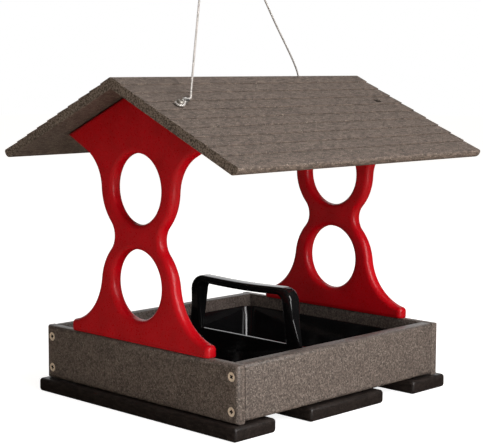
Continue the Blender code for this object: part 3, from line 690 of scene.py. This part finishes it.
def roof_profile():
    """The board's section as (down the slope, out from its face): courses, eave and mitre."""
    lip = 0.25 * MM
    corners = [(mitre(0.0), 0.0, RIDGE_ROUND)]
    count = int((ROOF_SLOPE_LENGTH - EAVE_ROUND - FIRST_COURSE) / COURSE_PITCH) + 1
    for k in range(count):
        down = FIRST_COURSE + k * COURSE_PITCH
        corners.append((down, 0.0, lip))
        corners.append((down + 0.2 * MM, -COURSE_STEP - LAP_GROOVE, 0.0))
        corners.append((down + 1.2 * MM, -COURSE_STEP, 0.0))
    corners += [
        (ROOF_SLOPE_LENGTH, 0.0, EAVE_TOP_ROUND),
        (ROOF_SLOPE_LENGTH, -ROOF_THICKNESS, EAVE_ROUND),
        (mitre(-ROOF_THICKNESS), -ROOF_THICKNESS, 0.0),
    ]
    return filleted(corners, 5)


def round_gable_undersides(mesh):
    bm = bmesh.new()
    bm.from_mesh(mesh)
    low = -ROOF_THICKNESS + 0.01 * MM
    edges = [
        edge
        for edge in bm.edges
        if all(vert.co.y < low for vert in edge.verts)
        and abs(edge.verts[0].co.z - edge.verts[1].co.z) < SEAT
        and edge.calc_length() > ROOF_THICKNESS
    ]
    bmesh.ops.bevel(bm, geom=edges, offset=GABLE_ROUND, segments=5, profile=0.5, affect="EDGES")
    bm.to_mesh(mesh)
    bm.free()
    smooth(mesh)


# The end and the side of the roof that each screw is in
roof_screws = {"roof_screw_1": (-1, 1), "roof_screw_2": (1, -1)}
cable_screws = {"cable_screw_1": (-1, -1), "cable_screw_2": (1, 1)}
roof_sinks = grouped_mesh(
    "roof_sinks",
    countersink_mesh(SCREW_HEAD, SCREW_SHANK, ROOF_SINK_DEPTH),
    [roof_screw_place(end, side, -ROOF_SCREW_SUNK) for end, side in roof_screws.values()],
)
for name, side in (("front", -1), ("back", 1)):
    mesh = outline_mesh("roof_board", [roof_profile()], ROOF_LENGTH)
    round_gable_undersides(mesh)
    axes = Matrix((SLOPE_DOWN[side], SLOPE_OUT[side], Vector((side, 0.0, 0.0)))).transposed()
    mesh.transform(Matrix.Translation(RIDGE_TOP) @ axes.to_4x4())
    mesh = cut(mesh, [roof_sinks], f"roof_panel_{name}_finished")
    piece(f"roof_panel_{name}", mesh, ROOF)


# Seed tray with its divider and handle

def rounded_box(name, low, high, corner, bottom_round, draft=0.0):
    """A box with rounded upright edges and rounded bottom edges, narrower below by its draft."""
    bm = bmesh.new()
    bmesh.ops.create_cube(bm, size=1.0)
    size = Vector(high) - Vector(low)
    middle = (Vector(low) + Vector(high)) / 2
    bmesh.ops.scale(bm, vec=size, verts=bm.verts)
    bmesh.ops.translate(bm, vec=middle, verts=bm.verts)
    upright = [edge for edge in bm.edges if abs(edge.verts[0].co.z - edge.verts[1].co.z) > size.z / 2]
    steps = TRAY_ROUND_STEPS
    bmesh.ops.bevel(bm, geom=upright, offset=corner, segments=2 * steps, profile=0.5, affect="EDGES")
    level = low[2] + bottom_round / 4
    floor = [edge for edge in bm.edges if all(vert.co.z < level for vert in edge.verts)]
    bmesh.ops.bevel(bm, geom=floor, offset=bottom_round, segments=steps, profile=0.5, affect="EDGES")
    for vert in bm.verts:
        inward = (high[2] - vert.co.z) * tan(draft)
        vert.co.x += inward if vert.co.x < middle.x else -inward
        vert.co.y += inward if vert.co.y < middle.y else -inward
    return mesh_of(bm, name)


def handle_outline():
    """The handle's arch as (y, height over the tray's underside)."""
    foot = TRAY_HEIGHT - 1.5 * DIVIDER_THICKNESS
    inner_foot = LEG_HALF_SPAN + LEG_SPREAD
    outer_grip = LEG_HALF_SPAN + LEG_THICKNESS
    knee = HANDLE_HEIGHT - 2 * GRIP_CORNER
    under = HANDLE_HEIGHT - GRIP_THICKNESS
    half = [
        (inner_foot, foot, 0.0),
        (inner_foot + LEG_BASE_THICKNESS, foot, 0.0),
        (outer_grip + LEG_SPREAD, knee, 2 * GRIP_CORNER),
        (outer_grip, HANDLE_HEIGHT, GRIP_CORNER),
    ]
    mirrored = [(-y, z, radius) for y, z, radius in reversed(half)]
    top = (0.0, HANDLE_HEIGHT - GRIP_SAG, GRIP_SAG_RADIUS)
    inside = [
        (-LEG_HALF_SPAN, under, GRIP_CORNER / 2),
        (0.0, under - GRIP_SAG, GRIP_SAG_RADIUS),
        (LEG_HALF_SPAN, under, GRIP_CORNER / 2),
    ]
    return filleted([*half, top, *mirrored, *inside], 12)


def narrow_legs(mesh):
    """Narrows the arch along X from the grip's width down to the legs' tips."""
    top = HANDLE_HEIGHT - LEG_TAPER_START
    foot = min(vert.co.z for vert in mesh.vertices)
    for vert in mesh.vertices:
        share = min(1.0, max(0.0, (top - vert.co.z) / (top - foot)))
        vert.co.x *= 1.0 + share * (LEG_TIP_WIDTH / GRIP_WIDTH - 1.0)


def tray_mesh():
    half_x, half_y = TRAY_HALF
    top = TRAY_LEVEL + TRAY_HEIGHT
    outer = rounded_box(
        "tray_outer",
        (-half_x, -half_y, TRAY_LEVEL),
        (half_x, half_y, top),
        TRAY_CORNER + TRAY_WALL,
        TRAY_BOTTOM_ROUND + TRAY_WALL,
    )
    wells = []
    for end in ENDS:
        near, far = DIVIDER_THICKNESS / 2, half_x - TRAY_WALL
        low = (min(end * near, end * far), TRAY_WALL - half_y, TRAY_LEVEL + TRAY_WALL)
        high = (max(end * near, end * far), half_y - TRAY_WALL, top + 0.5 * MM)
        wells.append(rounded_box("well", low, high, TRAY_CORNER, TRAY_BOTTOM_ROUND, TRAY_DRAFT))
    shell = cut(outer, wells, "tray_shell")
    bm = bmesh.new()
    bm.from_mesh(shell)
    rim = [
        edge
        for edge in bm.edges
        if all(abs(vert.co.z - top) < 0.01 * MM for vert in edge.verts)
        and len(edge.link_faces) == 2
        and edge.calc_face_angle(0.0) > radians(60)
    ]
    bmesh.ops.bevel(bm, geom=rim, offset=TRAY_RIM_ROUND, segments=3, profile=0.5, affect="EDGES")
    shell = mesh_of(bm, "tray_shell")
    arch = outline_mesh("handle", [handle_outline()], GRIP_WIDTH, HANDLE_ROUND, 6)
    arch.transform(UPRIGHT)
    narrow_legs(arch)
    arch.transform(Matrix.Translation((0.0, 0.0, TRAY_LEVEL)))
    return cut(shell, [arch], "seed_tray_finished", "UNION")


piece("seed_tray", tray_mesh(), TRAY, "tray")


# Screws with a cross recess, their heads up and their tops at z = 0

def cross_cutters(size, depth, level):
    """Two slots across each other, cut down from the level."""
    slots = []
    for turn in (0.0, pi / 2):
        bm = bmesh.new()
        made = bmesh.ops.create_cube(bm, size=1.0)["verts"]
        bmesh.ops.scale(bm, vec=(size, 0.42 * size, 2 * depth), verts=made)
        bmesh.ops.rotate(bm, matrix=Matrix.Rotation(turn, 3, "Z"), verts=made)
        bmesh.ops.translate(bm, vec=(0.0, 0.0, level), verts=made)
        slots.append(mesh_of(bm, "slot"))
    return slots


def screw_mesh(name, head, shank, length):
    """Countersunk, with a cross recess and threads cut as rings into the shank."""
    cone = head - shank
    profile = [(0.0, 0.0), (head - 0.2 * MM, 0.0), (head, -0.25 * MM), (shank, -cone)]
    root = THREAD_ROOT * shank
    down = cone + 2.0 * MM
    while down + THREAD_PITCH < length - SCREW_TIP:
        profile += [(root, -down), (shank, -down - 0.5 * THREAD_PITCH)]
        down += THREAD_PITCH
    profile += [(root, SCREW_TIP - length), (0.0, -length)]
    body = turned_mesh(name, profile, 36)
    return cut(body, cross_cutters(0.95 * head, 1.9 * MM, 0.0), name)


def cable_screw_mesh():
    """A pan head over the eye, with the shank below it."""
    profile = [(radius * MM, height * MM) for radius, height in PAN_HEAD]
    profile += [(SCREW_SHANK, 0.0), (SCREW_SHANK, -CABLE_SCREW_CONE), (0.0, -CABLE_SCREW_TIP)]
    body = turned_mesh("cable_screw_head", profile, 48)
    return cut(body, cross_cutters(3.6 * MM, 1.4 * MM, PAN_HEAD[0][1] * MM), "cable_screw_head")


frame_screw = screw_mesh("frame_screw_head", SCREW_HEAD, SCREW_SHANK, FRAME_SCREW_LENGTH)
slat_screw = screw_mesh("slat_screw_head", SCREW_HEAD, SCREW_SHANK, SLAT_SCREW_LENGTH)
roof_screw = screw_mesh("roof_screw_head", SCREW_HEAD, SCREW_SHANK, ROOF_SCREW_LENGTH)
support_screw_sizes = (SUPPORT_SCREW_HEAD, SUPPORT_SCREW_SHANK, SUPPORT_SCREW_LENGTH)
support_screw = screw_mesh("support_screw_head", *support_screw_sizes)
screw_turns = {node: SCREW_TURN * k for k, node in enumerate(screw_places)}
for nodes, shape, steel, slot in (
    (FRAME_SCREWS, frame_screw, SCREW, "screw_steel"),
    (SLAT_SCREWS, slat_screw, DARK_SCREW, "dark_screw"),
    (SUPPORT_SCREWS, support_screw, DARK_SCREW, "dark_screw"),
):
    for node in nodes:
        place = screw_places[node] @ Matrix.Rotation(screw_turns[node], 4, "Z")
        piece(node, shape, steel, place=place)
for node, (end, side) in roof_screws.items():
    place = roof_screw_place(end, side, -ROOF_SCREW_SUNK)
    piece(node, roof_screw, DARK_SCREW, place=place)
cable_screw = cable_screw_mesh()
for node, (end, side) in cable_screws.items():
    place = roof_screw_place(end, side, EYE_LIFT + CABLE_RADIUS + SEAT)
    piece(node, cable_screw, EYE_SCREW, place=place)


# Hanging cable: its route is the model's, read more finely

def eye_frame(end, side, heading):
    """Places an eye: x leads away from the screw, y lies across, z stands off the roof."""
    origin = on_roof(side, end * ROOF_SCREW_X, ROOF_SCREW_DOWN, 0.0)
    ahead = Vector((cos(heading), 0.0, 0.0)) - SLOPE_DOWN[side] * sin(heading)
    out = SLOPE_OUT[side]
    flat = Matrix((ahead, out.cross(ahead), out)).transposed()
    return Matrix.Translation(origin) @ flat.to_4x4()


NEAR_EYE = eye_frame(-1, -1, NEAR_HEADING)
FAR_EYE = eye_frame(1, 1, FAR_HEADING)


def strand(along, aside, tilt):
    past = max(0.0, along - STRAND_BEND)
    return Vector((min(along, STRAND_BEND) + past * cos(tilt), aside, FERRULE_LIFT + past * sin(tilt)))


def eye_points(place, tilt):
    """The tail's tip, the ferrule, round the screw and out through the ferrule again."""
    stops = [FERRULE_OFFSET + FERRULE_LENGTH * share for share in (0.8, 0.3, -0.5)]
    points = [strand(stop, -STRAND_ASIDE, tilt) for stop in stops]
    points.append(Vector((STRAND_BEND, -1.5 * STRAND_ASIDE, EYE_LIFT)))
    for turn in range(7):
        angle = radians(-60.0 - 40.0 * turn)
        points.append(Vector((EYE_RADIUS * cos(angle), EYE_RADIUS * sin(angle), EYE_LIFT)))
    points.append(Vector((STRAND_BEND, 1.5 * STRAND_ASIDE, EYE_LIFT)))
    points += [strand(stop, STRAND_ASIDE, tilt) for stop in reversed(stops)]
    return [place @ point for point in points]


def smooth_route(points, steps):
    """Points read from a smooth curve through the route's own points, near or far apart."""
    ends = [2 * points[0] - points[1], *points, 2 * points[-1] - points[-2]]
    route = []
    for before, here, after, beyond in zip(ends, ends[1:], ends[2:], ends[3:]):
        a, b, c = (sqrt((q - p).length) for p, q in ((before, here), (here, after), (after, beyond)))
        leaving = b * ((here - before) / a - (after - before) / (a + b)) + (after - here)
        arriving = b * ((beyond - after) / c - (beyond - here) / (b + c)) + (after - here)
        for k in range(steps):
            t = k / steps
            route.append(
                here * (2 * t**3 - 3 * t**2 + 1)
                + leaving * (t**3 - 2 * t**2 + t)
                + after * (3 * t**2 - 2 * t**3)
                + arriving * (t**3 - t**2)
            )
    return [*route, points[-1]]


# From the near eye over the roof and up, over the hook's turn, and down to the far eye, in mm
CABLE_ROUTE = [
    (-112.8, -45.5, 282.6),
    (-111.4, -44.3, 286.2),
    (-82.3, -22.1, 350.1),
    (-45.5, 5.6, 432.1),
    (-35.9, 12.9, 453.6),
    (-20.6, 20.6, 465.3),
    (-2.3, 25.9, 457.1),
    (21.7, 29.9, 428.5),
    (81.3, 39.7, 357.1),
    (126.0, 47.0, 303.5),
]


def evenly(points, spacing):
    """The same line with its points the same distance apart."""
    lengths = [(b - a).length for a, b in zip(points, points[1:])]
    count = round(sum(lengths) / spacing)
    step = sum(lengths) / count
    made, walked, k = [points[0]], 0.0, 0
    for i in range(1, count):
        while walked + lengths[k] < i * step:
            walked += lengths[k]
            k += 1
        made.append(points[k].lerp(points[k + 1], (i * step - walked) / lengths[k]))
    return [*made, points[-1]]


def rope_mesh(name, line, radius, lay, sides):
    """Six strands twisted round a straight one along the line."""
    bm = bmesh.new()
    side = (line[1] - line[0]).orthogonal().normalized()
    rings, walked = [], 0.0
    for i, here in enumerate(line):
        ahead = (line[min(i + 1, len(line) - 1)] - line[max(i - 1, 0)]).normalized()
        side = (side - ahead * side.dot(ahead)).normalized()
        rings.append((here, ahead, side.copy(), walked))
        if i + 1 < len(line):
            walked += (line[i + 1] - here).length
    thin = radius / 3
    for strand_number in range(7):
        aside = 0.0 if strand_number == 6 else 2 * thin
        loops = []
        for here, ahead, side, distance in rings:
            angle = strand_number * pi / 3 + 2 * pi * distance / lay
            up = ahead.cross(side)
            centre = here + (side * cos(angle) + up * sin(angle)) * aside
            angles = [angle + 2 * pi * k / sides for k in range(sides)]
            corners = [centre + (side * cos(a) + up * sin(a)) * thin for a in angles]
            loops.append([bm.verts.new(corner) for corner in corners])
        for first, second in zip(loops, loops[1:]):
            for k in range(sides):
                j = (k + 1) % sides
                bm.faces.new((first[k], first[j], second[j], second[k]))
        bm.faces.new(reversed(loops[0]))
        bm.faces.new(loops[-1])
    return mesh_of(bm, name)


middle = [Vector(point) * MM for point in CABLE_ROUTE]
far = list(reversed(eye_points(FAR_EYE, FAR_TILT)))
route = smooth_route([*eye_points(NEAR_EYE, NEAR_TILT), *middle, *far], ROUTE_STEPS)
cable_line = evenly(route, CABLE_POINT_SPACING)
rope = rope_mesh("hanging_cable", cable_line, CABLE_RADIUS, CABLE_LAY, ROPE_SIDES)
cable = piece("hanging_cable", rope, CABLE)


def stadium(half_length, radius, steps):
    right = arc((half_length, 0.0), radius, -pi / 2, pi / 2, pi * radius / steps)
    left = arc((-half_length, 0.0), radius, pi / 2, 3 * pi / 2, pi * radius / steps)
    return right + left


def ferrule_mesh():
    """A sleeve round both strands."""
    bore = CABLE_RADIUS + SEAT
    outlines = [stadium(STRAND_ASIDE, bore + FERRULE_WALL, 20), stadium(STRAND_ASIDE, bore, 20)]
    return outline_mesh("ferrule", outlines, FERRULE_LENGTH, FERRULE_ROUND, 2)


def ferrule_place(place, tilt):
    centre = place @ strand(FERRULE_OFFSET, 0.0, tilt)
    across = place.to_3x3() @ Vector((0.0, 1.0, 0.0))
    length_ways = place.to_3x3() @ Vector((cos(tilt), 0.0, sin(tilt)))
    axes = Matrix((across, length_ways.cross(across), length_ways)).transposed()
    return Matrix.Translation(centre) @ axes.to_4x4()


sleeve = ferrule_mesh()
for node, place, tilt in (
    ("cable_ferrule_1", NEAR_EYE, NEAR_TILT),
    ("cable_ferrule_2", FAR_EYE, FAR_TILT),
):
    seat = ferrule_place(place, tilt)
    piece(node, sleeve, FERRULE, place=seat)


# Floor, background, lamps and camera

def floor():
    """A pale floor, plain white where it is seen. Only the shadow stays."""
    bm = bmesh.new()
    bmesh.ops.create_grid(bm, x_segments=1, y_segments=1, size=6.0)
    obj = new_object("floor", mesh_of(bm, "floor"))
    n = new_material("floor")
    path = n.add("ShaderNodeLightPath").outputs
    colour = n.mix(path["Is Glossy Ray"], [FLOOR_GREY * c for c in SURROUND], (MIRRORED,) * 3)
    colour = n.mix(path["Is Camera Ray"], colour, FLOOR_SEEN)
    matte = n.add("ShaderNodeBsdfDiffuse", {"Color": colour}).outputs[0]
    glow = n.math("MULTIPLY", path["Is Camera Ray"], FLOOR_GLOW)
    white = n.add("ShaderNodeEmission", {"Color": WHITE, "Strength": glow}).outputs[0]
    blend = n.add("ShaderNodeAddShader", {0: matte, 1: white}).outputs[0]
    n.set(n.tree.nodes["Material Output"].inputs["Surface"], blend)
    n.tree.nodes.remove(n.tree.nodes["Principled BSDF"])
    obj.data.materials.append(n.owner)


def surround():
    """White where it is seen, and dark with a white backdrop where it is mirrored."""
    world = bpy.data.worlds.new("surround")
    bpy.context.scene.world = world
    n = Nodes(world, "Generated")
    path = n.add("ShaderNodeLightPath").outputs
    behind = n.add("ShaderNodeVectorMath", {0: n.place, 1: BACKDROP}, operation="DOT_PRODUCT")
    card = n.math("GREATER_THAN", behind.outputs["Value"], BACKDROP_EDGE)
    mirrored = n.math("MULTIPLY", path["Is Glossy Ray"], card)
    through = n.math("MAXIMUM", path["Is Camera Ray"], path["Is Transmission Ray"])
    seen = n.math("MAXIMUM", through, mirrored)
    levels = {"Value": path["Is Glossy Ray"], "To Min": ROOM_LEVEL, "To Max": MIRRORED}
    room = n.add("ShaderNodeMapRange", levels).outputs["Result"]
    strength = n.add("ShaderNodeMapRange", {"Value": seen, "To Min": room}).outputs["Result"]
    light = n.tree.nodes["Background"].inputs
    n.set(light["Color"], n.mix(seen, SURROUND, WHITE))
    n.set(light["Strength"], strength)


def area_lamp(name, place, size, power, colour):
    data = bpy.data.lights.new(name, "AREA")
    data.shape = "RECTANGLE"
    data.size, data.size_y = size
    data.energy = power
    data.color = colour
    lamp = new_object(name, data)
    lamp.location = place
    lamp.rotation_euler = (Vector(LAMP_TARGET) - Vector(place)).to_track_quat("-Z", "Y").to_euler()
    lamp.visible_camera = False


def camera():
    data = bpy.data.cameras.new("camera")
    data.lens = CAMERA_LENS
    data.sensor_width = CAMERA_SENSOR
    obj = new_object("camera", data)
    a, e = CAMERA_AZIMUTH, CAMERA_ELEVATION
    back = Vector((sin(a) * cos(e), -cos(a) * cos(e), sin(e)))
    right = (-back).cross(Vector((0.0, 0.0, 1.0))).normalized()
    up = right.cross(-back)
    axes = Matrix((right, up, back)).transposed() @ Matrix.Rotation(CAMERA_ROLL, 3, "Z")
    obj.matrix_world = Matrix.Translation(CAMERA_PLACE) @ axes.to_4x4()
    bpy.context.scene.camera = obj


floor()
surround()
for lamp in LAMPS:
    area_lamp(*lamp)
camera()
bpy.context.scene.view_settings.view_transform = "Standard"
